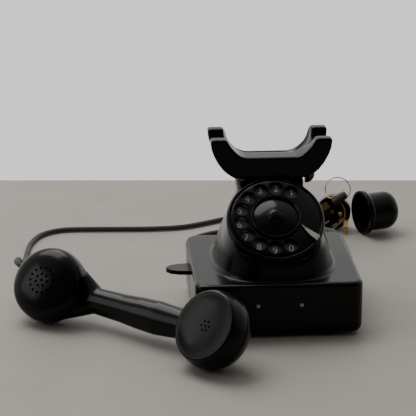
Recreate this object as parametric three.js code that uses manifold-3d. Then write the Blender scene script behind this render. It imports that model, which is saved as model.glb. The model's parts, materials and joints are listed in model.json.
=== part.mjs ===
// Rotary telephone with its handset off the cradle and its line plug opened.
// Millimetres, +Z up, front of the telephone towards -Y. The origin is on the table, under the middle of the
// box that holds the telephone and the handset.

import * as THREE from "three";
import { mergeVertices } from "three/addons/utils/BufferGeometryUtils.js";
import Module from "manifold-3d";

const wasm = await Module();
wasm.setup();

// ---------- driving dimensions ----------

const gap = 0.3;
const wall = 3.5;

const base = { width: 151, depth: 144, bottom: 2, top: 51, corner: 11, topEdge: 3.5, bottomEdge: 7 };
const ledge = { inset: 8, height: 9 };
const seat = { y: -25.9, z: 95.8, tilt: 39.2, opening: 38.5 };
const neck = { halfWidth: 31.7, front: 12, rear: 56, top: 127 };
const cradle = { bottom: 125, front: 9, rear: 59, saddle: 144.6, notch: 149.5, hornTop: 162, travel: 4 };
const dial = { bezel: 44.5, wheel: 40.3, hub: 22.5, hole: 6.6, holeCircle: 31.5 };
const dialHoles = { count: 10, first: 59.4, step: 360 / 14 };
const stopAngle = -30;
const lever = { y: 18, z: 35.5, width: 22, thickness: 4.5, tip: 97, pivotX: -60 };
const handset = { x: -142, y: -79.4, turn: -40.8, tilt: 34, reach: 90.7, lean: 8, handleDepth: 31 };
const handsetCord = 5;
const lineCord = 7;
const handsetCoil = { x: -36, y: 118, inner: 22, outer: 33, top: 10.6 };
const lineCoil = { x: 36, y: 166, inner: 29.8, outer: 51.2, top: 14.6 };
const plug = { x: 89.5, y: 226, z: 18.6, radius: 18, turn: -12, depth: 12 };
const cover = { x: 116.5, y: 211, z: 23.2, turn: 18, flange: 23, body: 20, length: 39 };

// ---------- materials ----------

function finish(color, roughness, metalness) {
  return new THREE.MeshStandardMaterial({ color, roughness, metalness });
}

const bakelite = finish(0x0b0b0d, 0.18, 0);
const enamel = finish(0x101012, 0.3, 0.1);
const steel = finish(0x9a9a96, 0.4, 1);
const nickel = finish(0xb9b6ae, 0.25, 1);
const brass = finish(0xc09a4e, 0.35, 1);
const copper = finish(0xa8622e, 0.4, 1);
const rubber = finish(0x161616, 0.8, 0);
const braid = finish(0x14130f, 0.9, 0);
const fibre = finish(0x6b4a2b, 0.7, 0);

// ---------- helpers ----------

const telephone = new THREE.Group();
const leads = new THREE.Group();
const dialGroup = new THREE.Group();
dialGroup.position.set(0, seat.y, seat.z);
dialGroup.rotation.x = THREE.MathUtils.degToRad(seat.tilt);
dialGroup.updateMatrix();

function radians(degrees) {
  return THREE.MathUtils.degToRad(degrees);
}

function add(name, geometry, material, parent = telephone) {
  const mesh = new THREE.Mesh(geometry, material);
  mesh.name = name;
  parent.add(mesh);
  return mesh;
}

function turned(profile, sides = 20) {
  const points = profile.map(([radius, height]) => new THREE.Vector2(radius, height));
  return new THREE.LatheGeometry(points, sides).rotateX(Math.PI / 2);
}

function rod(radius, low, high, sides = 10) {
  return turned([[0, low], [radius, low], [radius, high], [0, high]], sides);
}

function tubeRing(inner, outer, low, high, sides = 24) {
  return turned([[inner, low], [outer, low], [outer, high], [inner, high], [inner, low]], sides);
}

function block(width, depth, height, x = 0, y = 0, z = 0) {
  return new THREE.BoxGeometry(width, depth, height).translate(x, y, z);
}

function roundedRectangle(width, depth, corner) {
  const x = width / 2;
  const y = depth / 2;
  const outline = new THREE.Shape();
  outline.moveTo(-x + corner, -y);
  outline.lineTo(x - corner, -y);
  outline.absarc(x - corner, -y + corner, corner, -Math.PI / 2, 0);
  outline.lineTo(x, y - corner);
  outline.absarc(x - corner, y - corner, corner, 0, Math.PI / 2);
  outline.lineTo(-x + corner, y);
  outline.absarc(-x + corner, y - corner, corner, Math.PI / 2, Math.PI);
  outline.lineTo(-x, -y + corner);
  outline.absarc(-x + corner, -y + corner, corner, Math.PI, 1.5 * Math.PI);
  return outline;
}

function slab(outline, low, high, edge = 0, curveSegments = 3) {
  const settings = {
    depth: high - low - 2 * edge,
    curveSegments,
    bevelEnabled: edge > 0,
    bevelThickness: edge,
    bevelSize: edge,
    bevelOffset: -edge,
    bevelSegments: 2,
  };
  return new THREE.ExtrudeGeometry(outline, settings).translate(0, 0, low + edge);
}

function solid(geometry) {
  const bare = geometry.clone();
  bare.deleteAttribute("normal");
  bare.deleteAttribute("uv");
  const merged = mergeVertices(bare, 1e-4);
  const corners = merged.index.array;
  const kept = [];
  for (let i = 0; i < corners.length; i += 3) {
    const [a, b, c] = [corners[i], corners[i + 1], corners[i + 2]];
    if (a !== b && b !== c && c !== a) kept.push(a, b, c);
  }
  const vertProperties = merged.attributes.position.array;
  return new wasm.Manifold(new wasm.Mesh({ numProp: 3, vertProperties, triVerts: new Uint32Array(kept) }));
}

function geometryOf(body) {
  const mesh = body.getMesh();
  const geometry = new THREE.BufferGeometry();
  geometry.setAttribute("position", new THREE.BufferAttribute(mesh.vertProperties, 3));
  geometry.setIndex(new THREE.BufferAttribute(mesh.triVerts, 1));
  const flat = geometry.toNonIndexed();
  flat.computeVertexNormals();
  return flat;
}

function joined(...geometries) {
  return geometries.map(solid).reduce((whole, piece) => whole.add(piece));
}

function drilled(body, ...cutters) {
  return cutters.reduce((rest, cutter) => rest.subtract(solid(cutter)), body);
}

// A tube of even section along a smooth curve through the given points.
function tube(points, diameter, steps, sides = 8) {
  const curve = new THREE.CatmullRomCurve3(points.map((point) => new THREE.Vector3(...point)));
  const section = new THREE.Shape();
  for (let i = 0; i < sides; i += 1) {
    const angle = (2 * Math.PI * i) / sides;
    const corner = [(diameter / 2) * Math.cos(angle), (diameter / 2) * Math.sin(angle)];
    if (i === 0) section.moveTo(...corner);
    else section.lineTo(...corner);
  }
  return new THREE.ExtrudeGeometry(section, { steps, extrudePath: curve, bevelEnabled: false });
}

// ---------- housing ----------

// Rings of the flared neck, from inside the base up to the flat top.
const neckRings = [
  { height: 44, halfWidth: 60, front: -68, rear: 66 },
  { height: 51, halfWidth: 56, front: -66.5, rear: 64 },
  { height: 55, halfWidth: 53.8, front: -65.4, rear: 61.5 },
  { height: 62, halfWidth: 52, front: -64.6, rear: 59.5 },
  { height: 72, halfWidth: 49.5, front: -64, rear: 58 },
  { height: 82, halfWidth: 45.5, front: -63, rear: 57 },
  { height: 92, halfWidth: 40.5, front: -56, rear: 56.4 },
  { height: 102, halfWidth: 35.5, front: -40, rear: 56.2 },
  { height: 112, halfWidth: neck.halfWidth, front: -14, rear: neck.rear },
  { height: 119, halfWidth: neck.halfWidth, front: 8, rear: neck.rear },
  { height: 123, halfWidth: neck.halfWidth, front: neck.front, rear: neck.rear },
  { height: neck.top, halfWidth: neck.halfWidth, front: neck.front, rear: neck.rear },
];
const neckSquareness = 2.7;

function flaredNeck(inset, sides, rings) {
  const top = neck.top - inset;
  const heights = rings.map((ring) => Math.min(ring.height, top));
  const geometry = turned([[0, heights[0]], ...heights.map((height) => [1, height]), [0, top]], sides);
  const place = geometry.attributes.position;
  for (let i = 0; i < place.count; i += 1) {
    const ring = rings.findLast((candidate) => candidate.height <= place.getZ(i) + 1e-3);
    const halfDepth = (ring.rear - ring.front) / 2 - inset;
    place.setX(i, squared(place.getX(i)) * (ring.halfWidth - inset));
    place.setY(i, squared(place.getY(i)) * halfDepth + (ring.rear + ring.front) / 2);
  }
  return geometry;
}

// Turns a cosine or sine into the coordinate of a squarish oval.
function squared(value) {
  return Math.sign(value) * Math.abs(value) ** (2 / neckSquareness);
}

function dialDrum(inset, front, sides) {
  const profile = [[33, inset - 46], [39, -25], [43.6, -7], [dial.bezel, 0], [dial.bezel, front]];
  const outer = profile.map(([radius, height]) => [radius - inset, height]);
  return turned([[0, inset - 46], ...outer, [0, front]], sides);
}

function baseBox(inset, low, high, edge) {
  const corner = Math.max(base.corner - inset, 2);
  const outline = roundedRectangle(base.width - 2 * inset, base.depth - 2 * inset, corner);
  return slab(outline, low, high, edge);
}

const bossPlaces = [[-58, -56], [58, -56], [-58, 56], [58, 56]];

function inDialFrame(geometry) {
  return geometry.applyMatrix4(dialGroup.matrix);
}

function makeHousing() {
  const upper = baseBox(0, 14, base.top, base.topEdge);
  const lower = baseBox(0, base.bottom, 32, base.bottomEdge);
  const aboveSeat = solid(inDialFrame(block(200, 160, 120, 0, 0, 60)));
  const outside = joined(upper, lower, flaredNeck(0, 28, neckRings)).subtract(aboveSeat);
  const shell = outside.add(solid(inDialFrame(dialDrum(0, 0.001, 32))));
  const innerRings = neckRings.filter((ring, i) => i % 2 === 0 || i === neckRings.length - 1);
  const cavity = joined(
    baseBox(wall, ledge.height, base.top - wall, 0),
    baseBox(ledge.inset, base.bottom - 1, ledge.height + 1, 0),
    flaredNeck(wall, 16, innerRings),
  ).subtract(solid(inDialFrame(block(200, 160, 120, 0, 0, 60 - wall))));
  const opening = rod(seat.opening, -8, 4, 24);
  const hollow = cavity.add(solid(inDialFrame(dialDrum(6, 0.5, 16)))).add(solid(inDialFrame(opening)));
  let body = shell.subtract(hollow);
  for (const [x, y] of bossPlaces) body = body.add(solid(rod(5, 3.8, base.top - 2, 8).translate(x, y, 0)));
  for (const [x, y] of bossPlaces) body = drilled(body, rod(1.7, 0, 16, 8).translate(x, y, 0));
  const lowest = cradle.bottom - cradle.travel;
  const travelRoom = block(2 * neck.halfWidth + 4, 3.2, 6, 0, neck.front - 1.6, lowest + 2.6);
  const stemHole = rod(5, neck.top - 8, neck.top + 4, 12).translate(0, stemY, 0);
  const slot = block(12, lever.width + 8, lever.thickness + 2.4, -base.width / 2, lever.y, lever.z);
  const screwHoles = frontScrewX.map((x) =>
    rod(1.5, -8, 8, 8).rotateX(Math.PI / 2).translate(x, -base.depth / 2, screwHeight));
  const bushHoles = rearBushes.map(({ x, z, hole }) =>
    rod(hole, -12, 12, 12).rotateX(Math.PI / 2).translate(x, base.depth / 2, z));
  return geometryOf(drilled(body, travelRoom, stemHole, slot, ...screwHoles, ...bushHoles));
}

const stemY = (neck.front + neck.rear) / 2;
const frontScrewX = [-19.5, 19.5];
const screwHeight = 31.5;
const rearBushes = [
  { name: "handset_cord_bush", x: -8, z: 14, hole: 5.2, bore: 2.8 },
  { name: "line_cord_bush", x: 56, z: 14, hole: 6.6, bore: 3.8 },
];

add("housing", makeHousing(), bakelite);

for (const [i, x] of frontScrewX.entries()) {
  const screw = turned([[0, -3], [1.2, -3], [1.2, 6], [1.9, 6], [1.7, 6.8], [0, 7.2]], 12);
  const placed = screw.rotateX(Math.PI / 2).translate(x, -base.depth / 2 + 6 - gap, screwHeight);
  add(`front_screw_${i + 1}`, placed, nickel);
}

for (const { name, x, z, hole, bore } of rearBushes) {
  const half = hole - gap;
  const outline = [[bore, -6], [half, -6], [half, 0.3], [hole + 2, 0.3], [hole + 2, 2.3], [bore + 1.6, 9]];
  const bush = turned([...outline, [bore, 9], [bore, -6]], 12);
  add(name, bush.rotateX(-Math.PI / 2).translate(x, base.depth / 2, z), rubber);
}

// ---------- underside ----------

const plateInset = ledge.inset + gap;
const plateOutline = roundedRectangle(
  base.width - 2 * plateInset, base.depth - 2 * plateInset, base.corner - ledge.inset + 2);
const baseScrew = [[0, 0.6], [2.8, 0.6], [3.1, 1], [3.1, 2.4], [1.4, 2.4], [1.4, 12], [0, 12]];
const baseScrews = bossPlaces.map(([x, y]) => turned(baseScrew, 8).translate(x, y, 0));
const plate = slab(plateOutline, base.bottom + 0.2, base.bottom + 1.4, 0, 2);
add("base_plate", geometryOf(joined(plate, ...baseScrews)), steel);

const feetPlaces = [[-46, -58], [46, -58], [-46, 58], [46, 58]];
for (const [i, [x, y]] of feetPlaces.entries()) {
  const foot = turned([[0, 0], [6, 0], [6.6, 0.6], [6.6, base.bottom - 0.1], [0, base.bottom - 0.1]], 12);
  add(`foot_${i + 1}`, foot.translate(x, y, 0), rubber);
}

// ---------- dial ----------

telephone.add(dialGroup);

const bezelProfile = [[41.3, 0.3], [44.5, 0.3], [44.5, 2.5], [42.6, 4.4], [41.3, 3.6], [41.3, 0.3]];
add("dial_bezel", turned(bezelProfile, 36), bakelite, dialGroup);
add("number_plate", tubeRing(6, 41, gap, 1.5, 32), enamel, dialGroup);

function makeFingerWheel() {
  const ring = [[20.6, 5.2], [20.6, 8.2], [dial.hub, 8.2], [dial.hub, 5.2]].reverse();
  const rim = [[dial.wheel, 3], [dial.wheel, 4.6], [dial.wheel - 1, 5.2]];
  const disc = turned([[5, 3], ...rim, ...ring, [5, 5.2], [5, 3]], 36);
  const holes = [];
  for (let i = 0; i < dialHoles.count; i += 1) {
    const angle = radians(dialHoles.first + i * dialHoles.step);
    const x = dial.holeCircle * Math.cos(angle);
    const y = dial.holeCircle * Math.sin(angle);
    holes.push(rod(dial.hole, 2, 7, 10).translate(x, y, 0));
  }
  return geometryOf(drilled(solid(disc), ...holes));
}

add("finger_wheel", makeFingerWheel(), bakelite, dialGroup);
const hubDisc = [[0, 5.5], [20.1, 5.5], [20.1, 7], [7.6, 7], [7.3, 8.2], [5, 10.2], [0, 11]];
add("hub_disc", turned(hubDisc), bakelite, dialGroup);
add("dial_shaft", rod(3.5, -20, 5.2, 12), steel, dialGroup);

function makeFingerStop() {
  const at = (radius, degrees) => [radius * Math.cos(radians(degrees)), radius * Math.sin(radians(degrees))];
  const outline = new THREE.Shape();
  outline.moveTo(...at(43.6, stopAngle - 7));
  outline.quadraticCurveTo(...at(33, stopAngle - 6), ...at(24, stopAngle + 8));
  outline.quadraticCurveTo(...at(31, stopAngle + 3), ...at(43.6, stopAngle + 1));
  outline.closePath();
  const blade = slab(outline, 6, 7.4);
  const foot = slab(outline, 4.7, 6.4);
  const outerOnly = block(60, 60, 10, 30 + 41.6, 0, 5).rotateZ(radians(stopAngle - 3));
  const rim = solid(foot).intersect(solid(outerOnly));
  return geometryOf(solid(blade).add(rim));
}

add("finger_stop", makeFingerStop(), nickel, dialGroup);

const dialCase = [[4, -22], [34, -22], [34, -0.5], [32, -0.5], [32, -20.2], [4, -20.2], [4, -22]];
add("dial_case", turned(dialCase), steel, dialGroup);
add("drive_gear", tubeRing(3.8, 17, -4, -2), brass, dialGroup);
add("main_spring", tubeRing(5, 13, -10, -5, 16), steel, dialGroup);
add("governor", joinedGovernor(), brass, dialGroup);

function joinedGovernor() {
  const pinion = rod(3, -4.2, -1.8, 12).translate(21, 0, 0);
  const spindle = rod(1.2, -18, -1.8, 8).translate(21, 0, 0);
  const drum = rod(6, -16, -8, 16).translate(21, 0, 0);
  return geometryOf(joined(pinion, spindle, drum));
}

// ---------- cradle and hook switch ----------

const cradleMiddle = (cradle.front + cradle.rear) / 2;

function cradleOutline() {
  const foot = [[34, cradle.bottom], [38.5, 128], [43.6, 132]];
  const outer = [...foot, [49, 139], [53, 146.7], [55.3, 153.4], [56, cradle.hornTop]];
  const inner = [[40.8, cradle.hornTop], [39.2, 159], [36, 154.2], [32, 149.2], [25.7, cradle.saddle]];
  const right = [...outer, ...inner];
  const left = right.map(([x, z]) => [-x, z]).reverse();
  const outline = new THREE.Shape();
  outline.moveTo(...left[left.length - 1]);
  for (const corner of [...right, ...left.slice(0, -1)]) outline.lineTo(...corner);
  return outline;
}

function makeCradle() {
  const yoke = slab(cradleOutline(), 0, cradle.rear - cradle.front, 1.6, 1);
  yoke.rotateX(Math.PI / 2).translate(0, cradle.rear, 0);
  const trough = rod(14, -80, 80, 20).rotateY(Math.PI / 2).translate(0, cradleMiddle, cradle.notch + 14);
  const above = block(160, 28, 30, 0, cradleMiddle, cradle.notch + 29);
  const ends = [-16.5, 16.5].map((x) => solid(new THREE.SphereGeometry(24.4, 20, 12).translate(x, 48, 160)));
  const rearHollow = wasm.Manifold.hull(ends);
  const lug = new THREE.SphereGeometry(1, 12, 8).scale(8.7, 9.4, 8.7).translate(32.8, 20.5, 125.5);
  const socket = slab(
    roundedRectangle(2 * (neck.halfWidth + 0.6), neck.rear - neck.front + 1.2, 16), 100, 134);
  socket.translate(0, stemY, 0);
  const neckRoom = block(2 * (neck.halfWidth + 0.5), 60, 12, 0, stemY, cradle.bottom - 6);
  return geometryOf(drilled(joined(yoke, lug).subtract(rearHollow), trough, above, socket, neckRoom));
}

add("cradle", makeCradle(), bakelite);

const stem = turned([[0, 96], [1.2, 96], [1.2, 99], [4, 101], [4, 133.7], [0, 133.7]], 12);
add("cradle_stem", stem.translate(0, stemY, 0), steel);
add("cradle_spring", tubeRing(6, 8.5, neck.top + gap, 133.6, 16).translate(0, stemY, 0), steel);

const hook = { pivotY: 48, pivotZ: 93.5 };
const hookLever = drilled(
  joined(
    block(6, 20, 3, 0, 39, hook.pivotZ + 0.5),
    rod(3.2, -3, 3, 12).rotateY(Math.PI / 2).translate(0, hook.pivotY, hook.pivotZ)),
  rod(1.7, -8, 8, 12).rotateY(Math.PI / 2).translate(0, hook.pivotY, hook.pivotZ));
add("hook_lever", geometryOf(hookLever), brass);

const hookBracket = joined(
  block(2, 10, 36, -6, 46, 80), block(2, 10, 36, 6, 46, 80), block(14, 10, 2, 0, 46, 63),
  rod(1.5, -6, 6, 8).rotateY(Math.PI / 2).translate(0, hook.pivotY, hook.pivotZ),
  block(8, 8, 10, 0, 45, 68), block(6, 0.8, 22, 0, 42.4, 75), block(6, 0.8, 22, 0, 45, 75),
  block(6, 0.8, 22, 0, 47.6, 75));
add("hook_bracket", geometryOf(hookBracket), steel);

// ---------- ringer ----------

const gongX = [-28.5, 28.5];
const gongY = -36;
const gongProfile = [
  [3.4, 21], [11.4, 20.2], [18, 17.2], [21, 13], [21.6, 9], [23, 9], [22.4, 13.5], [19, 18.5], [12, 21.6],
  [3.4, 22.4], [3.4, 21],
];
for (const x of gongX) {
  add(x < 0 ? "gong_left" : "gong_right", turned(gongProfile, 20).translate(x, gongY, 0), brass);
}

const ringerY = 4;
const post = [[0, 4], [3, 4], [3, 22.8], [4.4, 22.8], [4.2, 24.4], [0, 24.6]];
add("ringer_frame", geometryOf(joined(
  block(38, 12, 1.6, 0, ringerY, 4.8), block(4, 1.6, 29, 0, ringerY + 5.2, 19),
  rod(0.9, -5, 6, 8).rotateX(Math.PI / 2).translate(0, ringerY, 30.5),
  block(6, 44, 1.6, 0, -16, 4.8), block(62, 6, 1.6, 0, gongY, 4.8),
  ...gongX.map((x) => turned(post, 12).translate(x, gongY, 0)))), steel);
const coilProfile = [
  [0, 6], [8.5, 6], [8.5, 7.2], [7.6, 7.2], [7.6, 24], [8.5, 24], [8.5, 25.4], [3, 25.4], [3, 27], [0, 27],
];
for (const [i, x] of [-12, 12].entries()) {
  add(`ringer_coil_${i + 1}`, turned(coilProfile, 12).translate(x, ringerY, 0), copper);
}
const clapper = drilled(
  joined(
    block(36, 8, 3, 0, ringerY, 30.5), block(1.6, 44, 2, 0, ringerY - 20, 30.5),
    block(1.6, 1.6, 17, 0, gongY, 22.8),
    new THREE.SphereGeometry(4, 10, 6).translate(0, gongY, 14)),
  rod(1.2, -12, 12, 8).rotateX(Math.PI / 2).translate(0, ringerY, 30.5));
add("clapper", geometryOf(clapper), steel);

// ---------- circuit parts ----------

add("induction_coil", geometryOf(joined(
  block(20, 34, 20, 50, 22, 15), block(26, 3, 26, 50, 4, 17), block(26, 3, 26, 50, 40, 17))), copper);
add("capacitor", slab(roundedRectangle(22, 44, 2), 4, 30).translate(-52, 26, 0), steel);
const terminals = [-19.5, -6.5, 6.5, 19.5].map((x) => rod(2.6, 12, 15.4, 10).translate(x, 48, 0));
add("terminal_block", geometryOf(joined(block(56, 14, 9, 0, 48, 8.5), ...terminals)), fibre);

// ---------- ringer volume lever ----------

function makeVolumeLever() {
  const half = lever.width / 2;
  const outline = new THREE.Shape();
  outline.moveTo(lever.pivotX + 4, lever.y - 4);
  outline.lineTo(-base.width / 2 + 1, lever.y - half);
  outline.quadraticCurveTo(-lever.tip + 3, lever.y - half, -lever.tip, lever.y - 2);
  outline.lineTo(-lever.tip, lever.y + 2);
  outline.quadraticCurveTo(-lever.tip + 3, lever.y + half, -base.width / 2 + 1, lever.y + half);
  outline.lineTo(lever.pivotX + 4, lever.y + 4);
  outline.closePath();
  const paddle = slab(outline, lever.z - lever.thickness / 2, lever.z + lever.thickness / 2, 1);
  return geometryOf(drilled(solid(paddle), rod(1.8, 20, 50, 12).translate(lever.pivotX, lever.y, 0)));
}

add("volume_lever", makeVolumeLever(), bakelite);
const pivotProfile = [[0, 30.6], [3.4, 30.6], [3.4, lever.z - 2.6], [1.5, lever.z - 2.6], [1.5, 40], [0, 40]];
add("lever_pivot", turned(pivotProfile, 12).translate(lever.pivotX, lever.y, 0), steel);

// ---------- handset ----------

const handsetGroup = new THREE.Group();
const along = new THREE.Vector3(Math.cos(radians(handset.turn)), Math.sin(radians(handset.turn)), 0);
const facing = new THREE.Vector3(along.y, -along.x, 0).multiplyScalar(Math.cos(radians(handset.tilt)));
facing.z = Math.sin(radians(handset.tilt));
const across = new THREE.Vector3().crossVectors(facing, along);
handsetGroup.matrix.makeBasis(along, across, facing);
handsetGroup.matrix.decompose(handsetGroup.position, handsetGroup.quaternion, handsetGroup.scale);
handsetGroup.position.set(handset.x, handset.y, 0);
telephone.add(handsetGroup);

// Puts a piece made on a cup's own axis, face at zero, onto its end of the handset.
function onCup(geometry, side) {
  return geometry.rotateY(radians(-side * handset.lean)).translate(side * handset.reach, 0, 0);
}

const mouthSide = -1;
const earSide = 1;
const cupEdge = -16.1;

// The skin that runs from the back of a cup down to the handle.
function shoulder(side) {
  const back = onCup(turned([[0, -38], [20, -35.5], [30, -28], [33, -21], [0, -21]]), side);
  const end = rod(12.2, -1, 1, 16).rotateY(Math.PI / 2).scale(1, 1, 0.82);
  return wasm.Manifold.hull([solid(back), solid(end.translate(side * 51, 0, -handset.handleDepth - 1.9))]);
}

function makeHandle() {
  const mouthHalf = [[0, -84], [9, -82], [11.5, -66], [12.4, -45], [13.2, -20], [14.8, 0]];
  const earHalf = [[15.6, 20], [13.6, 44], [12.4, 66], [9, 82], [0, 84]];
  const bar = turned([...mouthHalf, ...earHalf], 16).rotateY(Math.PI / 2);
  const place = bar.attributes.position;
  for (let i = 0; i < place.count; i += 1) {
    const bow = 3 * (1 - (place.getX(i) / 84) ** 2);
    place.setZ(i, place.getZ(i) * 0.82 - handset.handleDepth - bow);
  }
  const back = [[0, -39], [12, -38.3], [21, -36], [28, -31.5], [32.4, -26], [34.4, -20]];
  const cup = [...back, [34.8, cupEdge - gap], [0, cupEdge - gap]];
  const bore = rod(28.4, -30, -10, 24);
  let bodies = solid(bar);
  for (const side of [mouthSide, earSide]) {
    bodies = bodies.add(solid(onCup(turned(cup), side)));
    bodies = bodies.add(shoulder(side));
  }
  return geometryOf(drilled(bodies, onCup(bore.clone(), mouthSide), onCup(bore.clone(), earSide)));
}

add("handset_body", makeHandle(), bakelite, handsetGroup);

function ringOfHoles(count, circle, radius, phase = 0) {
  const holes = [];
  for (let i = 0; i < count; i += 1) {
    const angle = phase + (2 * Math.PI * i) / count;
    holes.push(rod(radius, -9, 5, 5).translate(circle * Math.cos(angle), circle * Math.sin(angle), 0));
  }
  return holes;
}

const capRim = [[34, -8], [34.8, -13], [34.8, cupEdge], [29, cupEdge], [29, -5.6], [0, -5.6]];
const mouthFace = [[0, -5.6], [0, 4], [10, 3.6], [18, 2.3], [25, 0.4], [29.5, -1.8], [32.2, -4.6]];
const mouthSolid = drilled(
  solid(turned([...mouthFace, ...capRim].reverse())),
  rod(1.2, -9, 5, 5), ...ringOfHoles(7, 5.6, 1.2), ...ringOfHoles(14, 11.6, 1.2, 0.2));
add("mouthpiece_cap", onCup(geometryOf(mouthSolid), mouthSide), bakelite, handsetGroup);

const earFace = [[0, -5.6], [0, -2.6], [16, -2.2], [28.6, 0], [30.8, -0.4], [32.6, -3]];
const earSolid = drilled(
  solid(turned([...earFace, ...capRim].reverse())), rod(1.1, -9, 2, 5), ...ringOfHoles(6, 4.4, 1.1));
add("earpiece_cap", onCup(geometryOf(earSolid), earSide), bakelite, handsetGroup);

const capsule = [[0, -28], [18, -28], [18, -20], [27.5, -20], [27.5, -10], [0, -10]];
add("transmitter_capsule", onCup(turned(capsule, 16), mouthSide), steel, handsetGroup);
add("receiver_capsule", onCup(turned(capsule, 16), earSide), steel, handsetGroup);

const bushProfile = [[2.8, -2], [5, -2], [5, 2], [3.8, 8], [2.8, 8], [2.8, -2]];
const mouthBush = turned(bushProfile, 12).rotateY(-Math.PI / 2).translate(-36.9, 0, -26);
mouthBush.rotateZ(radians(-14));
add("mouthpiece_cord_bush", onCup(mouthBush, mouthSide), rubber, handsetGroup);

// The handset rests on the table on its cups.
handsetGroup.updateMatrixWorld(true);
handsetGroup.position.z = -new THREE.Box3().setFromObject(handsetGroup, true).min.z;
handsetGroup.updateMatrixWorld(true);

// ---------- cords ----------

telephone.updateMatrixWorld(true);

function coilRing({ x, y, inner, outer, top }) {
  return tubeRing(inner, outer, 0.2, top, 28).translate(x, y, 0);
}

// From the bush on the mouthpiece cup, back along the table and behind the telephone to the coil.
const handsetRoute = [
  [-231, 27, 39.1], [-234, 30, 40.3], [-236.2, 37, 40.2], [-235.6, 50, 37.4], [-234.6, 68, 31],
  [-233.4, 88, 20.8], [-232.6, 110, 10.4], [-232, 130, 4.6], [-231.4, 150, 2.8], [-230, 170, 2.8], [-226.5, 198, 2.8],
  [-216, 224, 2.8], [-195, 238, 2.8], [-165, 238.5, 2.8], [-130, 236.5, 2.8], [-98, 235.5, 2.8],
  [-68, 239, 2.8], [-42, 251, 2.8], [-20, 263, 2.8], [0, 265, 2.8], [12, 253, 2.8], [5, 236, 2.8],
  [-20, 224, 2.8], [-46, 212, 2.8], [-62, 196, 2.8], [-66, 176, 2.8], [-58, 160, 2.8], [-46, 153.6, 2.8],
];
add("handset_cord", tube(handsetRoute, handsetCord, 60), braid, leads);
add("handset_cord_coil", coilRing(handsetCoil), braid, leads);
const handsetLead = [[-8, 81.4, 14], [-8, 87, 13.6], [-8, 92, 12.5], [-8, 97.4, 10.6]];
add("handset_cord_lead", tube(handsetLead, handsetCord, 4), braid, leads);

// From the bush in the rear wall to the coil, and from the coil round to the back of the plug.
const lineLead = [[56, 81.4, 14], [58, 92, 12.5], [66, 106, 7.5], [74, 119, 4.4], [79.4, 131, 3.8]];
add("line_cord_lead", tube(lineLead, lineCord, 5), braid, leads);
add("line_cord_coil", coilRing(lineCoil), braid, leads);
const lineRoute = [
  [82.6, 196, 9], [77, 209, 5], [69, 224, 3.8], [64, 244, 3.8], [66, 266, 3.8], [76, 284, 3.8],
  [92, 291, 5], [104, 285, 10], [104, 274, 16], [100.6, 264.5, 18.3],
];
add("line_cord", tube(lineRoute, lineCord, 12), braid, leads);

// ---------- opened plug ----------

// Local axes of the plug: +Z out of its face and +Y up.
const plugGroup = new THREE.Group();
plugGroup.position.set(plug.x, plug.y, plug.z);
plugGroup.rotation.set(Math.PI / 2, radians(plug.turn), 0);
leads.add(plugGroup);

const insertBack = [[0, -plug.depth], [plug.radius - 1, -plug.depth], [plug.radius, -plug.depth + 1]];
const insertFace = [[plug.radius, -1], [plug.radius - 1, 0], [plug.radius - 3.4, 0], [plug.radius - 4, -2.4]];
add("plug_insert", turned([...insertBack, ...insertFace, [0, -2.4]]), bakelite, plugGroup);

const reliefEnd = -plug.depth - 24;
const reliefFoot = -plug.depth - gap;
const reliefOutside = [[4.6, reliefEnd], [6.4, reliefFoot - 4], [6.4, reliefFoot]];
const relief = [[3.8, reliefEnd], ...reliefOutside, [3.8, reliefFoot], [3.8, reliefEnd]];
add("plug_strain_relief", turned(relief, 12), rubber, plugGroup);

const clampPlate = joined(block(10, 7, 1.6, 0, 0, 1.2), block(4, 3, 4, 4, -1.4, -0.1), rod(1.9, 1, 2.9));
add("terminal_clamp", geometryOf(clampPlate).rotateZ(radians(28)).translate(-9.6, 6.6, 0), brass, plugGroup);
add("terminal_post", block(4, 4, 3.4, -1, 1.5, -0.4), brass, plugGroup);
const screwHead = turned([[0, -2.1], [2.6, -2.1], [2.6, 0], [1.6, 1.2], [0, 1.4]], 12);
add("terminal_screw", screwHead.translate(7.8, -1.4, 0), brass, plugGroup);

const pinPlaces = [[-6.3, -10.3], [2, -12.7]];
for (const [i, [x, y]] of pinPlaces.entries()) {
  const pin = rod(1.1, -3.4, 3.4, 8).rotateY(Math.PI / 2).rotateZ(radians(36)).translate(x, y, 1.4);
  add(`contact_pin_${i + 1}`, pin, nickel, plugGroup);
}

// A flat spring bent down from the strip until it touches the table.
function makeContactStrip() {
  const side = new THREE.Shape();
  side.moveTo(0, 0);
  side.quadraticCurveTo(8, -1.5, 14, -12);
  side.lineTo(13.2, -12);
  side.quadraticCurveTo(7.4, -2.4, 0, -0.8);
  side.closePath();
  const tongue = slab(side, -2.4, 2.4).rotateY(-Math.PI / 2).translate(14.2, -5.2, 0.8);
  const arcPoints = [[7.8, 11.4, 1.1], [10.8, 8, 1.1], [12.6, 3, 1.1], [12.6, -2, 1.1], [12, -6, 1.3]];
  const arc = tube(arcPoints, 1.5, 6, 6);
  const finger = tube([[11.6, -5.6, 1.3], [6.4, -10.4, 3.8], [3, -13.6, 5.8], [0.6, -15.6, 8]], 1.5, 5, 6);
  return geometryOf(joined(tongue, arc, finger));
}

add("contact_strip", makeContactStrip(), brass, plugGroup);

// A bare conductor that stands up behind the insert in a wide loop and comes forward past the sleeve.
const loop = { x: 3.7, y: 23.2, z: -9.6, radius: 13.2, start: -35, sweep: 238 };
const loopPoints = [];
for (let i = 0; i <= 12; i += 1) {
  const angle = radians(loop.start + (loop.sweep * i) / 12);
  loopPoints.push([loop.x + loop.radius * Math.cos(angle), loop.y + loop.radius * Math.sin(angle), loop.z]);
}
const loopTail = [[-8.2, 18.2, -4], [-6, 17.8, 1.6], [-1.9, 17.4, 4], [3.6, 21.7, 4.6], [10.7, 27.2, 4.6]];
add("bare_conductor", tube([...loopPoints, ...loopTail], 1.1, 30, 6), brass, plugGroup);

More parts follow.
